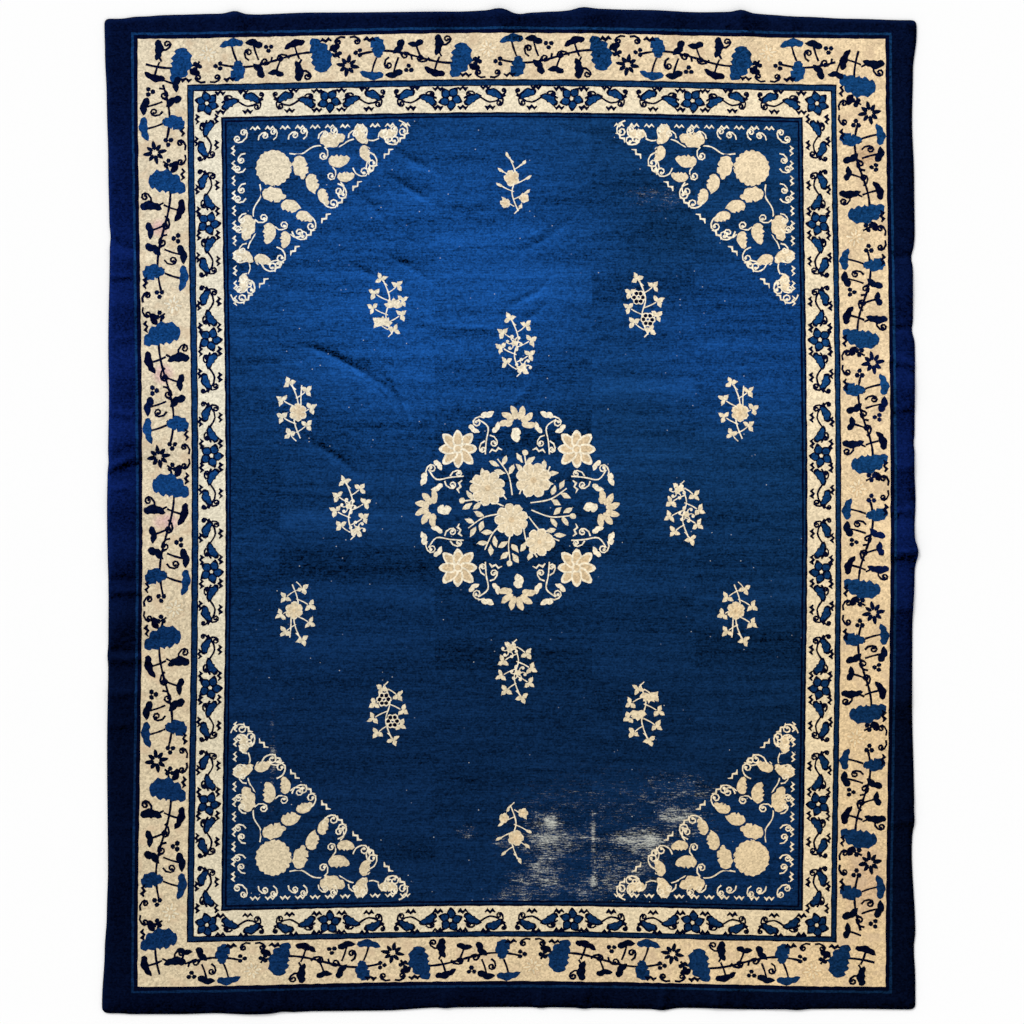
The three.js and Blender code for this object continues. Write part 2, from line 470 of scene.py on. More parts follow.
def corner_half(place):
    rug.line(WHITE, place, [(60 + 12 * i, 30 - 2 * i + 3 * math.sin(2 * i)) for i in range(9)], 1.6)
    rug.line(WHITE, place, [(62 + 6 * i, 44 + 5 * i) for i in range(7)], 1.6)
    for out, long, count in CORNER_ROWS:
        for i in range(count):
            x, y = across_corner(out, (i + 0.5) / count)
            turn = 70 - 75 * (i % 2)
            lobed(FIELD, place, x, y, turn, long + CORNER_PART, long * 0.66 + CORNER_PART, 4)
            lobed(PETAL, place, x, y, turn, long, long * 0.66, 4)
        for i in range(1, count):
            x, y = across_corner(out + 13, i / count)
            curl(WHITE, place, x, y, 20 + 50 * i, 4.6, 1 if i % 2 else -1)
    for i in range(6):
        x, y = across_corner(CORNER_RIM, (i + 0.5) / 6)
        curl(WHITE, place, x, y, 45, 5.2, 1 if i % 2 else -1, 12)
        x, y = across_corner(CORNER_RIM + 4, i / 6)
        ribbon(WHITE, place, x, y, -45, 13)
    for i in range(11):
        curl(WHITE, place, 18 + 15 * i, 9, -60, 3.8, 1 if i % 2 else -1, 8)
        ribbon(WHITE, place, 26 + 15 * i, 4, 0, 10)


def round_peony(place, x, y, radius):
    """The big round flower, its rim of small even petals."""
    rim = []
    for i in range(52):
        angle = 2 * math.pi * i / 52
        reach = radius * (0.94 + 0.1 * abs(math.sin(8.5 * angle)))
        rim.append((x + reach * math.cos(angle), y + reach * math.sin(angle)))
    rug.blob(PETAL, place, rim, sharp=True)


def field_corners():
    for flip_x, x in ((1, FIELD_BAND[0] + CORNER_GAP), (-1, FIELD_BAND[2] - CORNER_GAP)):
        for flip_y, y in ((1, FIELD_BAND[1] + CORNER_GAP), (-1, FIELD_BAND[3] - CORNER_GAP)):
            place = spot(x, y, 0, flip_x, flip_y)
            corner_half(place)
            corner_half(lambda p, place=place: place((p[1], p[0])))
            round_peony(place, 44, 44, 17.6)


# The medallion: a ring of eight flowers with scrolls between them, and a branch within.
# Each motif's axes run from the middle, the second one inwards.
MEDALLION = (515, 511)
RING = 84


def pointed_flower(place):
    """Eight pointed petals of tan, each edged in white."""
    for i in range(8):
        long = 19 if i % 2 else 21
        petal = inside(place, 0, 0, 45 * i)
        leaf(WHITE, petal, [(1, 0), (long, 0)], 11, 1, depth=0)
        leaf(TAN, petal, [(2.6, 0), (long - 1.6, 0)], 11, 1, 1.7, depth=0)
    rug.dot(WHITE, place, 0, 0, 4.3)
    rug.dot(TAN, place, 0, 0, 3.1)


def open_flower(place):
    """Six separate petals, and a seed pod that looks inwards."""
    for i in range(6):
        petal = inside(place, 0, 0, 180 + 36 * i)
        leaf(PETAL, petal, [(5, 0), (12, 1), (19, 0)], 7.4, 2, depth=0.2)
    lobed(WHITE, place, 0, 11, 90, 14, 11, 2)


def ring_scroll(place):
    """What fills the ring between two flowers."""
    rug.line(WHITE, place, [(-9, -62), (-3, -74), (4, -86), (-2, -97)], 1.6)
    lobed(WHITE, place, 9, -99, 10, 13, 7, 2)
    lobed(WHITE, place, -9, -90, 60, 12, 6, 2)
    lobed(WHITE, place, 11, -83, -40, 12, 6, 2)
    curl(WHITE, place, -4, -99, 200, 4.6, -1)
    curl(WHITE, place, 7, -70, 60, 4, 1)
    curl(WHITE, place, -12, -70, 150, 3.6, -1)
    ribbon(WHITE, place, 2, -62, 10, 13)


def flowering_branch(place):
    """Twigs that run out from the middle, and four flower heads that lie over them."""
    for i in range(12):
        twig = inside(place, 0, 0, 30 * i + 8)
        rug.line(WHITE, twig, [(14, 0), (34, 4), (53, 0)], 1.5)
        for x, y, turn in ((40, -3, -50), (38, 9, 50), (50, -5, -40), (49, 6, 45)):
            almond(twig, x, y, turn, 12, 5.4)
        if i % 3 == 0:
            rug.dot(CREAM, twig, 56, 0, 3)
    for x, y, radius, lobes in ((-30, -20, 18, 9), (16, -28, 18, 8), (-6, 12, 17, 9), (22, 34, 14, 7)):
        rosette(place, x, y, radius, lobes, WHITE, PETAL)


def medallion():
    middle = spot(*MEDALLION)
    flowering_branch(middle)
    for i in range(8):
        ring_scroll(inside(middle, 0, 0, 22.5 + 45 * i, 1 if i % 2 else -1))
        drawn = pointed_flower if i % 2 else open_flower
        drawn(inside(inside(middle, 0, 0, 45 * i), 0, -RING))


# The sprays. Each is a bowed stem with leaves on alternate sides, and its own flower heads.

def stem_with(place, leaf_shape, count=8, reach=27):
    rug.line(WHITE, place, [(-4, -reach), (2, -reach / 3), (-2, reach / 3), (4, reach)], 1.5)
    for i in range(count):
        y = reach * (1.9 * i / (count - 1) - 0.95)
        side = 1 if i % 2 else -1
        out = side * (4 + 11 * math.sin(math.pi * (i + 0.5) / count))
        rug.line(WHITE, place, [(0, y + 4), (out * 0.5, y + 1), (out * 0.85, y - 2)], 1.3)
        leaf_shape(place, out, y - 3, -90 + out * 4)


def fan_head(place, x, y):
    for angle in range(-160, -19, 35):
        almond(inside(place, x, y, angle), 5, 0, 0, 10, 6)


def dark_hearted_head(place, x, y):
    for width, yarn in ((3.3, WHITE), (2.2, NAVY)):
        for i in range(6):
            rug.dot(yarn, inside(place, x, y, 60 * i), 4.4, 0, width)


def curled_head(place, x, y):
    for i in range(6):
        curl(WHITE, inside(place, x, y, 60 * i), 7, 0, 0, 1.6, 1, 5, 1.3)
    rug.dot(CREAM, place, x, y, 3)


def blossom_spray(place):
    stem_with(place, almond)
    for x, y, radius in ((-2, -6, 8), (10, 14, 5), (-9, 19, 5)):
        rosette(place, x, y, radius, 5)


def fan_spray(place):
    stem_with(place, three_leaf)
    fan_head(place, 6, 0)
    fan_head(place, -5, 18)


def dark_hearted_spray(place):
    stem_with(place, three_leaf)
    dark_hearted_head(place, -5, -10)
    dark_hearted_head(place, 4, 12)


def curled_spray(place):
    stem_with(place, three_leaf)
    curled_head(place, -2, -4)
    curled_head(place, 7, 19)


def twin_stem_spray(place):
    rug.line(WHITE, place, [(6, -26), (5, -14), (5, -4)], 1.5)
    stem_with(place, three_leaf, 7)
    rosette(place, 2, 1, 9, 6)


# Where the sprays lie about the medallion: how far across and along, and which spray lies
# up to the left and down to the right, and which on the other diagonal.
SPRAYS = [
    (0, 324, blossom_spray, blossom_spray),
    (0, 161, curled_spray, curled_spray),
    (167, 0, curled_spray, curled_spray),
    (128, 202, fan_spray, dark_hearted_spray),
    (221, 100, twin_stem_spray, twin_stem_spray),
]


def sprays():
    for across, along, falling, rising in SPRAYS:
        places = {(flip_x * across, flip_y * along) for flip_x in (1, -1) for flip_y in (1, -1)}
        for x, y in sorted(places):
            drawn = falling if x * y >= 0 else rising
            turn = 180 if (y, x) > (0, 0) else 0
            drawn(spot(MEDALLION[0] + x, MEDALLION[1] + y, turn))


bands()
main_border()
minor_border()
field_corners()
medallion()
sprays()


# The rug as a mesh

PILE = 0.008
PILE_AT_EDGE = 0.0055
ROUNDING = 0.009


def rug_edge():
    """The outline of the solid: where it is thinnest, in order around the rug."""
    layers = {}
    for v in solid.data.vertices:
        layers.setdefault((round(v.co.x, 4), round(v.co.y, 4)), []).append(v.co.z)
    rim = [xy for xy, heights in layers.items() if 0.004 < max(heights) - min(heights) < 0.0065]
    return sorted(rim, key=lambda p: math.atan2(p[1], p[0]))


# Soft folds that are too small for the solid: their points on the sheet from the rug's edge
# inwards, half their width in steps, and their height in metres, less than 0 for a trough.
EDGE_FOLDS = [
    ([(104, 239), (122, 246), (140, 252), (168, 254)], 7, -0.0030),
    ([(104, 277), (122, 277), (150, 276)], 5, 0.0016),
    ([(118, 340), (134, 336), (146, 331)], 6, 0.0013),
    ([(104, 411), (122, 414), (150, 418)], 6, 0.0018),
    ([(104, 470), (122, 463), (140, 456), (160, 450)], 7, 0.0030),
    ([(104, 491), (122, 488), (138, 486)], 5, 0.0012),
    ([(104, 580), (126, 580), (150, 582)], 6, -0.0015),
    ([(104, 592), (126, 592), (160, 590)], 6, 0.0024),
    ([(104, 651), (126, 651), (150, 652)], 6, -0.0022),
    ([(104, 660), (126, 660), (168, 658)], 6, 0.0022),
    ([(104, 694), (126, 693), (155, 691)], 7, 0.0024),
    ([(104, 726), (126, 724), (150, 722)], 7, 0.0014),
    ([(104, 826), (126, 829), (150, 832)], 9, 0.0014),
    ([(918, 257), (900, 257), (878, 255)], 6, -0.0018),
    ([(918, 330), (900, 329), (880, 328)], 5, -0.0016),
    ([(918, 366), (900, 361), (876, 356)], 7, 0.0028),
    ([(918, 407), (900, 408), (874, 410)], 7, 0.0018),
    ([(918, 468), (900, 469), (880, 470)], 7, 0.0012),
    ([(918, 511), (900, 511), (876, 512)], 6, 0.0018),
    ([(918, 553), (900, 554), (870, 555)], 7, 0.0040),
    ([(918, 608), (900, 609), (876, 610)], 8, 0.0014),
    ([(918, 701), (900, 703), (876, 705)], 9, 0.0014),
    ([(918, 822), (900, 823), (876, 824)], 7, 0.0014),
    ([(496, 10), (506, 20), (520, 34), (536, 52)], 9, 0.0042),
    ([(578, 9), (586, 22), (600, 40)], 9, 0.0026),
    ([(672, 10), (676, 22), (680, 36)], 8, 0.0012),
    ([(738, 10), (742, 22), (748, 44)], 8, 0.0034),
    ([(790, 14), (792, 26), (794, 40)], 8, 0.0014),
    ([(236, 12), (240, 24), (246, 36)], 8, 0.0016),
    ([(446, 1010), (446, 998), (448, 986)], 6, 0.0014),
    ([(541, 1010), (541, 998), (540, 984)], 7, 0.0018),
    ([(584, 1010), (584, 998), (585, 986)], 6, 0.0016),
    ([(662, 1010), (664, 998), (667, 980)], 7, 0.0020),
    ([(716, 1010), (716, 998), (717, 986)], 6, 0.0014),
    ([(742, 1010), (742, 998), (742, 986)], 6, 0.0014),
    ([(282, 1012), (282, 998), (283, 984)], 7, 0.0016),
]

# Soft creases within the rug, which die away at both ends.
CREASES = [
    ([(290, 342), (318, 350), (342, 361), (366, 375), (388, 390), (404, 408), (416, 430)], 5.5, -0.0058),
    ([(376, 370), (388, 380), (398, 394), (406, 410), (412, 426)], 4, -0.0056),
    ([(350, 372), (370, 384), (386, 398), (398, 414), (404, 428)], 3.5, -0.0034),
    ([(300, 430), (322, 448), (342, 461), (360, 478), (372, 500), (376, 520)], 5, -0.0042),
    ([(384, 170), (400, 182), (420, 196), (444, 212)], 5, -0.0036),
    ([(388, 146), (408, 158), (430, 170), (450, 178)], 6, -0.0030),
    ([(352, 190), (372, 206), (392, 226), (404, 238)], 5, -0.0032),
    ([(384, 252), (402, 263), (420, 274), (440, 290)], 5, -0.0026),
    ([(350, 262), (372, 276), (396, 292)], 5, -0.0026),
    ([(417, 320), (440, 326), (470, 328), (510, 327), (538, 318)], 4, 0.0011),
    ([(500, 310), (520, 301), (540, 289), (560, 266)], 5, -0.0012),
    ([(510, 328), (526, 320), (546, 306), (560, 292)], 5, -0.0009),
    ([(512, 254), (536, 244), (558, 230), (584, 206)], 5, -0.0011),
    ([(520, 240), (540, 232), (556, 218)], 4, 0.0006),
    ([(540, 134), (566, 130), (600, 138), (630, 150), (660, 160)], 5, -0.0011),
    ([(505, 408), (524, 394), (540, 372)], 6, 0.0010),
]

# Where the rug's edge bulges (more than 0) or is notched, sharper than in the solid: a
# point near it on the sheet, how far out in steps, and half the length.
BULGES = [
    ((916, 553), 2.2, 9), ((914, 257), -1.8, 8), ((914, 330), -1.3, 7), ((915, 443), -0.9, 6),
    ((914, 822), 1.2, 8), ((500, 11), 1.6, 9), ((517, 12), -1.8, 8), ((583, 9), 1.4, 10),
    ((742, 12), 2.0, 8), ((236, 13), 1.3, 7), ((541, 1008), 0.9, 6), ((662, 1009), 1.1, 8),
    ((584, 1008), 0.8, 6), ((446, 1009), 0.9, 7), ((282, 1012), -1.2, 8), ((109, 236), -0.9, 8),
    ((109, 462), -0.8, 8), ((108, 655), 0.8, 8), ((120, 1014), -0.8, 8), ((798, 1010), 0.9, 8),
]


class Fold:
    """A soft ridge or trough along a line."""

    def __init__(self, points, half_width, height, from_edge):
        self.way = np.array([on_rug(x, y) for x, y in curve(points, spacing=3)])
        self.half_width = half_width * STEP
        self.height = height
        self.from_edge = from_edge
        self.low = self.way.min(0) - self.half_width
        self.high = self.way.max(0) + self.half_width

    def __call__(self, x, y):
        if not (self.low[0] < x < self.high[0] and self.low[1] < y < self.high[1]):
            return 0
        away = np.hypot(self.way[:, 0] - x, self.way[:, 1] - y)
        nearest = int(away.argmin())
        if away[nearest] > self.half_width:
            return 0
        share = nearest / (len(self.way) - 1)
        strength = ease((1 - share) / 0.6) * (1 if self.from_edge else ease(share / 0.4))
        return self.height * strength * (1 - (away[nearest] / self.half_width) ** 2) ** 2

    def points(self):
        """Points along the fold and on both of its sides, so that the mesh can bend there."""
        found = []
        for (ax, ay), (bx, by) in zip(self.way, self.way[1:]):
            length = math.hypot(bx - ax, by - ay)
            for side in (-1, -0.62, -0.3, 0, 0.3, 0.62, 1):
                reach = side * self.half_width / length
                found.append((ax - (by - ay) * reach, ay + (bx - ax) * reach))
        return found


class Lie:
    """How high the rug lies above the floor: the solid's ripples, smoothed, and the smaller
    folds. Less than 0 is a dent in the pile alone."""

    CELL = 0.02

    def __init__(self):
        tree = BVHTree.FromObject(solid, bpy.context.evaluated_depsgraph_get())
        low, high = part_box("rug")
        self.low = (low.x - 0.06, low.y - 0.06)
        columns = int((high.x - low.x + 0.12) / self.CELL) + 2
        rows = int((high.y - low.y + 0.12) / self.CELL) + 2
        heights = np.zeros((rows, columns))
        for j in range(rows):
            for i in range(columns):
                x = min(max(self.low[0] + i * self.CELL, low.x + 0.02), high.x - 0.02)
                y = min(max(self.low[1] + j * self.CELL, low.y + 0.02), high.y - 0.02)
                hit = tree.ray_cast(Vector((x, y, 0.1)), Vector((0, 0, -1)))[0]
                heights[j, i] = max(hit.z - PILE, 0) if hit else 0
        for _ in range(3):
            padded = np.pad(heights, 1, mode="edge")
            heights = (padded[:-2, 1:-1] + padded[2:, 1:-1] + padded[1:-1, :-2] + padded[1:-1, 2:]
                       + 2 * heights) / 6
        self.heights = heights
        self.folds = [Fold(*row, True) for row in EDGE_FOLDS] + [Fold(*row, False) for row in CREASES]

    def __call__(self, x, y):
        i = (x - self.low[0]) / self.CELL
        j = (y - self.low[1]) / self.CELL
        i0, j0 = int(i), int(j)
        s, t = i - i0, j - j0
        h = self.heights
        ripples = ((h[j0, i0] * (1 - s) + h[j0, i0 + 1] * s) * (1 - t)
                   + (h[j0 + 1, i0] * (1 - s) + h[j0 + 1, i0 + 1] * s) * t)
        return max(ripples + sum(fold(x, y) for fold in self.folds), -0.7 * PILE)


def bulged(ring):
    """The rug's outline with its sharper bulges and notches."""
    moved = []
    for (x, y), (out_x, out_y) in zip(ring, inset_ring(ring, -STEP)):
        out = 0
        for at, reach, half in BULGES:
            away = math.dist((x, y), on_rug(*at)) / STEP
            out += reach * ease(1 - away / (1.6 * half))
        moved.append((x + (out_x - x) * out, y + (out_y - y) * out))
    return moved


def inset_ring(ring, inset):
    """The ring of points moved in from the rug's edge."""
    moved = []
    n = len(ring)
    for i, (x, y) in enumerate(ring):
        (ax, ay), (bx, by) = ring[i - 2], ring[(i + 2) % n]
        length = math.hypot(bx - ax, by - ay)
        moved.append((x - (by - ay) / length * inset, y + (bx - ax) / length * inset))
    return moved


def within(ring, x, y):
    """Which of the places lie inside the ring of corners."""
    crossings = np.zeros(len(x), int)
    for (ax, ay), (bx, by) in zip(ring, np.roll(ring, -1, 0)):
        if ay != by:
            crossings += ((ay > y) != (by > y)) & (x < ax + (y - ay) * (bx - ax) / (by - ay))
    return crossings % 2 == 1


def triangulated(points, shapes):
    """Triangles between all the outlines, within the first one."""
    lines = [(a, b) for s in shapes for a, b in zip(s, s[1:] + s[:1])]
    made = delaunay_2d_cdt([Vector(p) for p in points], lines, [], 0, 2e-5, False)
    corners = np.array([tuple(v) for v in made[0]])
    faces = np.array([tuple(f) for f in made[2]])
    middles = corners[faces].mean(1)
    kept = within(np.array([points[i] for i in shapes[0]]), *middles.T)
    return corners, faces[kept]


def topmost(corners, faces, points, shapes, yarns):
    """The yarn of each triangle: that of the last shape drawn around its middle."""
    points = np.array(points)
    middles = corners[faces].mean(1)
    order = np.argsort(middles[:, 0])
    xs = middles[order, 0]
    found = np.full(len(faces), EDGE)
    for shape, yarn in zip(shapes, yarns):
        ring = points[shape]
        low, high = ring.min(0), ring.max(0)
        near = order[np.searchsorted(xs, low[0]):np.searchsorted(xs, high[0])]
        near = near[(middles[near, 1] > low[1]) & (middles[near, 1] < high[1])]
        found[near[within(ring, *middles[near].T)]] = yarn
    return found


def scattered(low, high, spacing, keep):
    """Loose points that keep the triangles of plain parts small enough to bend."""
    found = []
    rows = int((high[1] - low[1]) / spacing)
    for j in range(rows + 1):
        columns = int((high[0] - low[0]) / spacing)
        for i in range(columns + 1):
            x = low[0] + (i + 0.5 * (j % 2)) * spacing + draw.uniform(-0.1, 0.1) * spacing
            y = low[1] + j * spacing + draw.uniform(-0.1, 0.1) * spacing
            if keep(x, y):
                found.append((x, y))
    return found


def lay_flat(mesh, sides):
    """The map that the colours are baked on: the pile as seen from above, and beside it the
    underside, a quarter as large, and the side as a strip."""
    flat = mesh.uv_layers.new(name="OFBake")
    co = np.zeros(len(mesh.vertices) * 3)
    mesh.vertices.foreach_get("co", co)
    co = co.reshape(-1, 3)
    corners = np.zeros(len(mesh.loops), int)
    mesh.loops.foreach_get("vertex_index", corners)
    across = (co[corners, 0] + 1.39) / 3.44
    along = (co[corners, 1] + 1.72) / 3.44
    for polygon in mesh.polygons:
        spots = list(polygon.loop_indices)
        if polygon.material_index == BACK:
            across[spots] = 0.82 + across[spots] * 0.2
            along[spots] = 0.02 + along[spots] * 0.2
        elif polygon.index >= len(mesh.polygons) - sides:
            share = (polygon.index - len(mesh.polygons) + sides) / sides
            across[spots] = [0.82, 0.82, 0.84, 0.84]
            along[spots] = [0.25 + 0.7 * (share + step / sides) for step in (0, 1, 1, 0)]
    flat.data.foreach_set("uv", np.stack([across, along], 1).ravel())


def build_rug():
    lie = Lie()
    edge = bulged(curve(rug_edge(), closed=True, spacing=0.014))
    inner_ring = inset_ring(edge, ROUNDING)
    middle_ring = inset_ring(edge, ROUNDING / 3)
    points = edge + middle_ring + inner_ring
    n = len(edge)
    shapes = [list(range(n)), list(range(n, 2 * n)), list(range(2 * n, 3 * n))]
    yarns = [EDGE, EDGE, EDGE]
    first = len(points)
    points += [on_rug(x, y) for x, y in rug.corners]
    shapes += [[first + i for i in s] for s in rug.shapes]
    yarns += rug.yarns
    low, high = (-1.35, -1.675), (1.35, 1.675)
    plain = lambda x, y: max(abs(x) / 1.35, abs(y) / 1.675) < 1
    near_edge = lambda x, y: min(1.36 - abs(x), 1.685 - abs(y)) < 0.14
    points += scattered(low, high, 0.022, lambda x, y: plain(x, y) and near_edge(x, y))
    points += scattered(low, high, 0.045, lambda x, y: plain(x, y) and not near_edge(x, y))
    points += [spot for fold in lie.folds for spot in fold.points() if plain(*spot)]
    flat, faces = triangulated(points, shapes)

    rim = np.array(edge)

    def pile(x, y):
        if min(1.37 - abs(x), 1.69 - abs(y)) > 0.05:
            return PILE
        inset = np.sqrt(((rim - (x, y)) ** 2).sum(1).min())
        return PILE_AT_EDGE + (PILE - PILE_AT_EDGE) * math.sin(min(inset / ROUNDING, 1) * math.pi / 2)

    verts = [(x, y, lie(x, y) + pile(x, y)) for x, y in flat]
    polygons = [tuple(int(i) for i in f) for f in faces]
    slots = [int(yarn) for yarn in topmost(flat, faces, points, shapes, yarns)]

    # The underside, and the side between it and the pile.
    where = {(round(x, 6), round(y, 6)): i for i, (x, y) in enumerate(flat)}
    rim_index = [where[(round(x, 6), round(y, 6))] for x, y in [tuple(Vector(p)) for p in edge]]
    foot = inset_ring(edge, 0.0015)
    under_points = foot + scattered(low, high, 0.08, lambda x, y: plain(x, y) and not near_edge(x, y))
    under_points += scattered(low, high, 0.04, lambda x, y: plain(x, y) and near_edge(x, y))
    under, under_faces = triangulated(under_points, [list(range(n))])
    base = len(verts)
    verts += [(x, y, max(lie(x, y), 0)) for x, y in under]
    polygons += [tuple(base + int(i) for i in reversed(f)) for f in under_faces]
    slots += [BACK] * len(under_faces)
    for i in range(n):
        j = (i + 1) % n
        polygons.append((base + i, base + j, rim_index[j], rim_index[i]))
        slots.append(EDGE)

    mesh = bpy.data.meshes.new("peking_rug")
    mesh.from_pydata(verts, [], polygons)
    mesh.polygons.foreach_set("material_index", slots)
    mesh.polygons.foreach_set("use_smooth", [True] * len(polygons))
    mesh.update()
    lay_flat(mesh, n)
    piece = bpy.data.objects.new("peking_rug", mesh)
    bpy.context.scene.collection.objects.link(piece)
    return piece


# The wool

def srgb(r, g, b):
    """A colour as it looks, 0 to 255, as the light that Blender wants."""
    light = [c / 12.92 if c <= 0.04045 else ((c + 0.055) / 1.055) ** 2.4 for c in (r / 255, g / 255, b / 255)]
    return (*light, 1)


class Varying:
    """A number that changes over the surface. Python's signs add the Math nodes it takes."""

    def __init__(self, material, socket):
        self.material = material
        self.socket = socket

    def math(self, operation, *values, clamp=False):
        settings = {"operation": operation, "use_clamp": clamp}
        return self.material.node("ShaderNodeMath", settings, dict(enumerate(values)))

    def __add__(self, other):
        return self.math("ADD", self, other)

    def __sub__(self, other):
        return self.math("SUBTRACT", self, other)

    def __rsub__(self, other):
        return self.math("SUBTRACT", other, self)

    def __mul__(self, other):
        return self.math("MULTIPLY", self, other)

    def __truediv__(self, other):
        return self.math("DIVIDE", self, other)

    def __pow__(self, other):
        return self.math("POWER", self, other)

    def __gt__(self, other):
        return self.math("GREATER_THAN", self, other)

    def __abs__(self):
        return self.math("ABSOLUTE", self)

    __radd__ = __add__
    __rmul__ = __mul__

    def held(self):
        """Kept between 0 and 1."""
        return self.math("ADD", self, 0, clamp=True)

    def eased(self, low, high):
        """0 up to low, 1 from high on, and a soft change between them."""
        return self.material.node("ShaderNodeMapRange", {"interpolation_type": "SMOOTHSTEP"},
                                  {"Value": self, "From Min": low, "From Max": high})


class Material:
    """The nodes of one material of the rug."""

    def __init__(self, name):
        self.made = bpy.data.materials.new(name)
        self.made.use_nodes = True
        self.shader = self.made.node_tree.nodes["Principled BSDF"]

    def node(self, kind, settings=None, sockets=None, output=0):
        """Adds a node: its settings first, then the values or links of its sockets."""
        added = self.made.node_tree.nodes.new(kind)
        for name, value in (settings or {}).items():
            setattr(added, name, value)
        for name, value in (sockets or {}).items():
            self.feed(added.inputs[name], value)
        return Varying(self, added.outputs[output])

    def feed(self, socket, value):
        if isinstance(value, Varying):
            self.made.node_tree.links.new(value.socket, socket)
        else:
            socket.default_value = value

    def mixed(self, share, a, b, blend="MIX"):
        """Colour a going over to colour b as the share goes from 0 to 1."""
        settings = {"data_type": "RGBA", "blend_type": blend}
        return self.node("ShaderNodeMix", settings, {0: share, 6: a, 7: b}, 2)

    def vector(self, operation, a, b=(0, 0, 0), output=0):
        return self.node("ShaderNodeVectorMath", {"operation": operation}, {0: a, 1: b}, output)

    def noise(self, at, scale, detail=2, roughness=0.5):
        """Cloudy noise of 0 to 1 about 0.5, with so many clouds a metre in x, y and z."""
        scaled = self.vector("MULTIPLY", at, scale)
        return self.node("ShaderNodeTexNoise", {}, {"Vector": scaled, "Scale": 1.0, "Detail": detail,
                                                    "Roughness": roughness})


# Each yarn's name and its colour.
YARN_COLOURS = {
    EDGE: ("wool_edge", (5, 15, 45)),
    LIGHT_LINE: ("wool_light_line", (15, 50, 95)),
    NAVY: ("wool_navy", (5, 10, 40)),
    IVORY: ("wool_ivory", (225, 212, 185)),
    FIELD: ("wool_field", (15, 52, 100)),
    LEAF: ("wool_leaf", (18, 62, 118)),
    TAN: ("wool_tan", (215, 198, 168)),
    CREAM: ("wool_cream", (230, 224, 204)),
    PETAL: ("wool_petal", (226, 216, 192)),
    WHITE: ("wool_white", (242, 238, 222)),
}

# How red, green and blue change towards the right and towards the lower end: painted light falling from one
# side of the rug, and age.
RIGHTWARDS = (1.06, 1.0, 0.92)
DOWNWARDS_PALE = (0.94, 0.92, 0.88)
DOWNWARDS_DARK = (0.7, 0.68, 0.7)

# Where the yarn's colour is made lighter or darker: x, y, half the width and height, and the tone.
SHADED = {
    EDGE: [(112, 350, 60, 300, 1.7), (905, 460, 60, 260, 1.5)],
    FIELD: [(430, 280, 260, 230, 1.35), (745, 340, 160, 120, 1.2), (262, 860, 120, 90, 0.7),
            (770, 860, 120, 90, 0.75)],
}

# The stains of the ivory border: x, y, half the width and height.
PINK = (218, 184, 176)
BROWN = (208, 176, 138)
STAINS = [
    (159, 228, 14, 12, PINK), (163, 374, 14, 14, PINK), (166, 522, 18, 12, PINK),
    (866, 156, 20, 16, BROWN), (866, 880, 30, 60, BROWN),
]

# The field was knotted in five widths side by side, each from dye lots of its own, a few
# of which stand out. Where the widths meet, and the tones of the lots.
WIDTHS = [280, 435, 592, 695]
LOTS_A_WIDTH = 5
LOT_TONES = [0.76, 0.84, 1.14, 1.24]

# The worn places of the field on the sheet: x, y, half their width and height, how bare.
WORN = [
    (550, 822, 9, 9, 1.1),
    (545, 828, 26, 24, 0.62),
    (546, 862, 26, 30, 0.58),
    (532, 884, 40, 24, 0.5),
    (512, 900, 34, 12, 0.5),
    (593, 825, 4, 22, 0.8),
    (593, 860, 4, 36, 0.5),
    (593, 880, 6, 12, 0.5),
    (638, 840, 50, 14, 0.85),
    (652, 842, 24, 10, 0.5),
    (643, 852, 20, 12, 0.6),
    (673, 814, 26, 13, 0.66),
    (690, 822, 40, 22, 0.4),
    (622, 870, 46, 20, 0.42),
    (600, 890, 76, 18, 0.42),
    (466, 832, 14, 9, 0.5),
    (505, 842, 18, 9, 0.5),
    (560, 842, 60, 16, 0.42),
    (684, 790, 60, 26, 0.3),
    (600, 830, 150, 90, 0.2),
    (274, 760, 5, 24, 0.45),
    (272, 760, 4, 80, 0.3),
    (658, 196, 50, 22, 0.24),
]


def changed(colour, change):
    return [min(255, part * share) for part, share in zip(colour, change)]


def near(made, on_sheet, x, y, wide, tall):
    """1 at the middle of an oval of the sheet, fading out to 0 at its rim."""
    away = made.vector("MULTIPLY", made.vector("SUBTRACT", on_sheet, (x, y, 0)), (1 / wide, 1 / tall, 0))
    return (1 - made.vector("LENGTH", away, output=1)).eased(0, 0.75)


def dye_lots(made, x, y, at):
    """The field's tone: slow and fine streaks across it, other ones in each width."""
    width = sum((x > join) * 3.7 for join in WIDTHS)
    at = made.vector("ADD", at, made.node("ShaderNodeCombineXYZ", {}, {"Z": width}))
    slow = made.noise(at, (0.8, 9, 1), 3)
    fine = made.noise(at, (2.4, 40, 1), 3, 0.6)
    tone = 1 + (slow - 0.5) * 1.1 + (fine - 0.5) * 1.3
    dyer = random.Random(11)
    joins = [FIELD_BAND[0], *WIDTHS, FIELD_BAND[2]]
    for left, right in zip(joins, joins[1:]):
        beside = x.eased(left - 1.5, left + 1.5) * (1 - x.eased(right - 1.5, right + 1.5))
        for _ in range(LOTS_A_WIDTH):
            middle = dyer.uniform(FIELD_BAND[1] + 30, FIELD_BAND[3] - 120)
            half = dyer.uniform(10, 42)
            share = beside * (1 - abs((y - middle) / half)).eased(0, 0.7)
            tone = tone * (1 + share * (dyer.choice(LOT_TONES) - 1))
    return tone


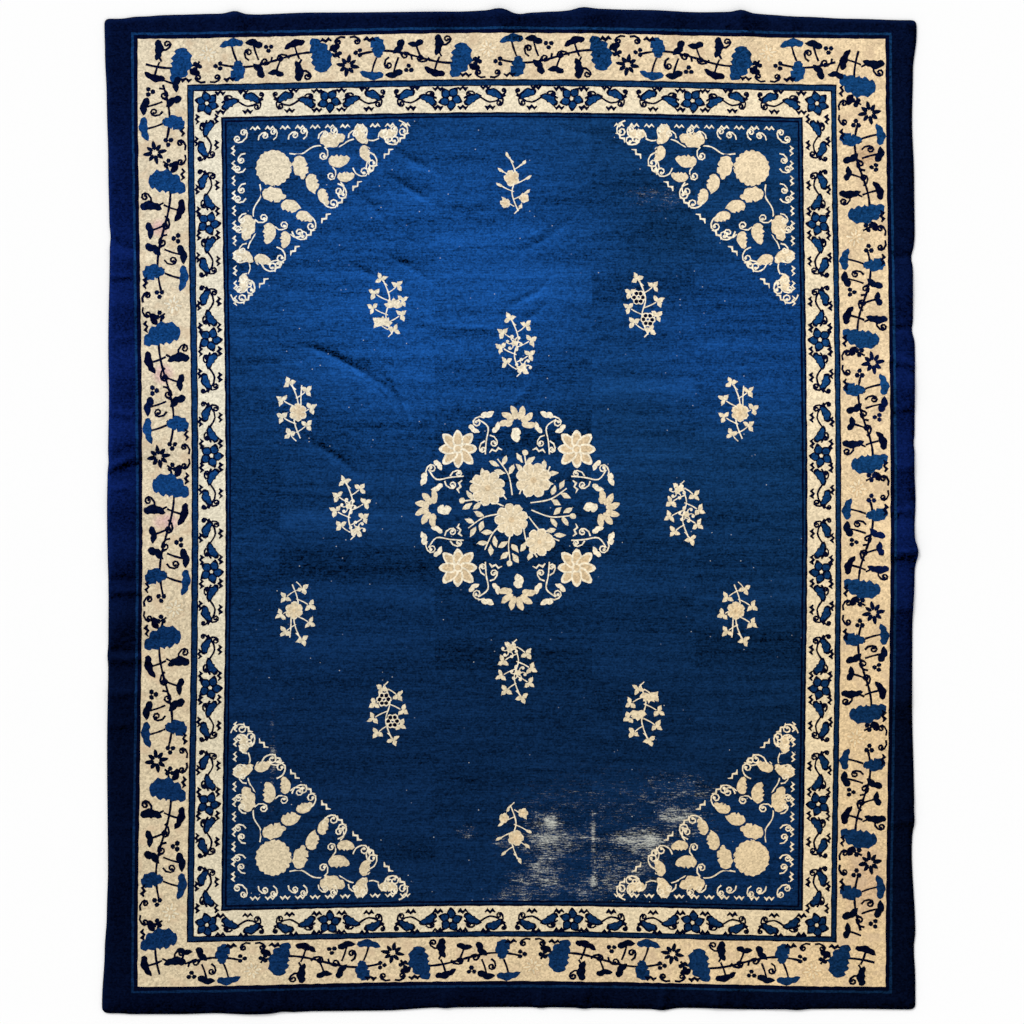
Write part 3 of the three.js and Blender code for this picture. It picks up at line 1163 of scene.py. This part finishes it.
def wool(yarn):
    name, base = YARN_COLOURS[yarn]
    pale = yarn in (IVORY, CREAM, TAN, PETAL, WHITE)
    made = Material(name)
    at = made.node("ShaderNodeTexCoord", output=3)
    middle = made.vector("MULTIPLY", at, (1 / STEP, -1 / STEP, 0))
    on_sheet = made.vector("ADD", middle, (*SHEET_MIDDLE, 0))
    x = made.node("ShaderNodeSeparateXYZ", {}, {0: on_sheet})
    y = made.node("ShaderNodeSeparateXYZ", {}, {0: on_sheet}, 1)

    # The slow changes of colour: painted light falling from one side, years and dye lots
    rightwards = (x - 110) / 790
    downwards = y.eased(330, 780)
    low = changed(base, DOWNWARDS_PALE if pale else DOWNWARDS_DARK)
    upper = made.mixed(rightwards.held(), srgb(*base), srgb(*changed(base, RIGHTWARDS)))
    lower = made.mixed(rightwards.held(), srgb(*low), srgb(*changed(low, RIGHTWARDS)))
    colour = made.mixed(downwards, upper, lower)
    for px, py, wide, tall, shade in SHADED.get(yarn, []):
        shaded = srgb(*changed(base, (shade, shade, shade)))
        colour = made.mixed(near(made, on_sheet, px, py, wide, tall), colour, shaded)
    if yarn == IVORY:
        for px, py, wide, tall, stain in STAINS:
            colour = made.mixed(near(made, on_sheet, px, py, wide, tall), colour, srgb(*stain))

    clouds = made.noise(at, (2.2, 3.4, 1), 3)
    lots = made.noise(at, (0.7, 26, 1), 4, 0.62)
    streaks = made.noise(at, (26, 190, 1), 2)
    mottle = made.noise(at, (75, 75, 1), 3, 0.6)
    knots_at = made.vector("MULTIPLY", at, (185, 215, 1))
    knots = made.node("ShaderNodeTexVoronoi", {"voronoi_dimensions": "2D"},
                      {"Vector": knots_at, "Scale": 1.0, "Randomness": 0.8}, 1)
    knot = made.node("ShaderNodeSeparateColor", {}, {0: knots})
    tuft = made.node("ShaderNodeTexVoronoi", {"voronoi_dimensions": "2D"},
                     {"Vector": knots_at, "Scale": 1.0, "Randomness": 0.8})

    # Painted light and shade on the ripples: a slope is made paler or darker by the way it faces, as if lit
    # from one side, standing for the pile's sheen.
    normal = made.node("ShaderNodeNewGeometry", output=1)
    upright = made.node("ShaderNodeSeparateXYZ", {}, {0: normal}, 2)
    painted_slope_shade = made.vector("DOT_PRODUCT", normal, (-0.55, 0.8, 0), 1)
    painted_slope_shade = (painted_slope_shade.eased(-0.2, 0.2) - 0.5) * upright.eased(0.9, 0.97)
    if pale:
        blotches = 0.9 if yarn == IVORY else 0.55
        tone = 1 + (knot - 0.5) * 0.42 + (mottle - 0.5) * blotches + (clouds - 0.5) * 0.2 + painted_slope_shade * 0.4
    elif yarn == FIELD:
        tone = (dye_lots(made, x, y, at) + (knot - 0.5) * 0.75 + (mottle - 0.5) * 0.6 + (streaks - 0.5) * 1.6
                + painted_slope_shade * 1.8)
    else:
        tone = (1 + (knot - 0.5) * 0.8 + (mottle - 0.5) * 0.9 + (streaks - 0.5) * 0.9 + (lots - 0.5) * 0.5
                + (clouds - 0.5) * 0.5 + painted_slope_shade * 1.6)
    grey = made.node("ShaderNodeCombineColor", {}, {0: tone, 1: tone, 2: tone})
    colour = made.mixed(1.0, colour, grey, "MULTIPLY")
    if yarn == IVORY:
        stain = made.noise(at, (19, 19, 1), 2).eased(0.48, 0.68)
        colour = made.mixed(stain * 0.5, colour, srgb(205, 178, 146))

    if yarn == FIELD:
        bare = None
        for px, py, wide, tall, share in WORN:
            patch = near(made, on_sheet, px, py, wide, tall) * share
            bare = patch if bare is None else bare + patch
        thread = made.noise(at, (30, 270, 1), 3, 0.7)
        fray = made.noise(at, (150, 250, 1), 2, 0.7)
        drift = made.noise(at, (14, 34, 1), 3, 0.6)
        worn = bare + (thread - 0.5) * 4.6 + (fray - 0.5) * 3 + (drift - 0.5) * 2.8 - 0.6
        worn = worn.eased(0.0, 1.6) * bare.eased(0.02, 0.3) * 0.85
        bald = knot.eased(0.9985, 1.0) * (1 - tuft.eased(0.15, 0.5))
        colour = made.mixed((worn + bald * 0.8).held(), colour, srgb(210, 210, 197))
    made.feed(made.shader.inputs["Base Color"], colour)

    made.feed(made.shader.inputs["Roughness"], 0.86 + (mottle - 0.5) * 0.2)
    height = tuft * -0.5 + mottle * 0.6 + streaks * 0.3
    bump = made.node("ShaderNodeBump", {}, {"Strength": 0.5, "Distance": 0.0022, "Height": height})
    made.feed(made.shader.inputs["Normal"], bump)
    made.feed(made.shader.inputs["Specular IOR Level"], 0.0)
    made.feed(made.shader.inputs["Sheen Weight"], 0.03)
    made.feed(made.shader.inputs["Sheen Roughness"], 0.3)
    return made.made


def rug_back():
    """The flat underside, where the knots show as small ribs."""
    made = Material("rug_back")
    at = made.node("ShaderNodeTexCoord", output=3)
    ribs = made.node("ShaderNodeTexWave", {"wave_type": "BANDS", "bands_direction": "Y"},
                     {"Vector": at, "Scale": 55.0, "Distortion": 1.2, "Detail": 2.0, "Detail Scale": 3.0})
    fleck = made.noise(at, (160, 220, 1), 2)
    tone = 0.75 + ribs * 0.3 + (fleck - 0.5) * 0.5
    grey = made.node("ShaderNodeCombineColor", {}, {0: tone, 1: tone, 2: tone})
    made.feed(made.shader.inputs["Base Color"], made.mixed(1.0, srgb(44, 62, 96), grey, "MULTIPLY"))
    made.feed(made.shader.inputs["Roughness"], 0.9 + (fleck - 0.5) * 0.1)
    height = ribs + fleck * 0.5
    bump = made.node("ShaderNodeBump", {}, {"Strength": 0.4, "Distance": 0.001, "Height": height})
    made.feed(made.shader.inputs["Normal"], bump)
    made.feed(made.shader.inputs["Specular IOR Level"], 0.1)
    return made.made


def plain_floor():
    made = Material("floor_white")
    made.feed(made.shader.inputs["Base Color"], srgb(255, 255, 255))
    made.feed(made.shader.inputs["Roughness"], 1.0)
    made.feed(made.shader.inputs["Specular IOR Level"], 0.0)
    return made.made


piece = build_rug()
for yarn in YARN_COLOURS:
    piece.data.materials.append(wool(yarn))
piece.data.materials.append(rug_back())

# Floor, light and camera

floor_mesh = bpy.data.meshes.new("floor")
FLOOR_HALF = 9
FLOOR_TOP = -0.0002
rim = [(x * FLOOR_HALF, y * FLOOR_HALF, FLOOR_TOP) for x, y in ((-1, -1), (1, -1), (1, 1), (-1, 1))]
floor_mesh.from_pydata(rim, [], [(0, 1, 2, 3)])
floor = bpy.data.objects.new("floor", floor_mesh)
bpy.context.scene.collection.objects.link(floor)
floor_mesh.materials.append(plain_floor())

world = bpy.data.worlds.new("studio")
bpy.context.scene.world = world
world.use_nodes = True
world.node_tree.nodes["Background"].inputs["Color"].default_value = (1, 1, 1, 1)
world.node_tree.nodes["Background"].inputs["Strength"].default_value = 0.72

lamp = bpy.data.lights.new("soft_light", "SUN")
lamp.angle = math.radians(24)
lamp.energy = 1.25
light = bpy.data.objects.new("soft_light", lamp)
light.rotation_euler = Vector((0.75, -1, -1.15)).to_track_quat("-Z", "Y").to_euler()
bpy.context.scene.collection.objects.link(light)

CAMERA_HEIGHT = 14.0
lens = bpy.data.cameras.new("camera")
lens.sensor_width = 36
lens.lens = lens.sensor_width * (CAMERA_HEIGHT - 0.01) / (1024 * STEP)
camera = bpy.data.objects.new("camera", lens)
camera.location = (*on_rug(512, 512), CAMERA_HEIGHT)
bpy.context.scene.collection.objects.link(camera)
bpy.context.scene.camera = camera
bpy.context.scene.view_settings.view_transform = "Standard"

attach(piece, "root")
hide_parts("rug")
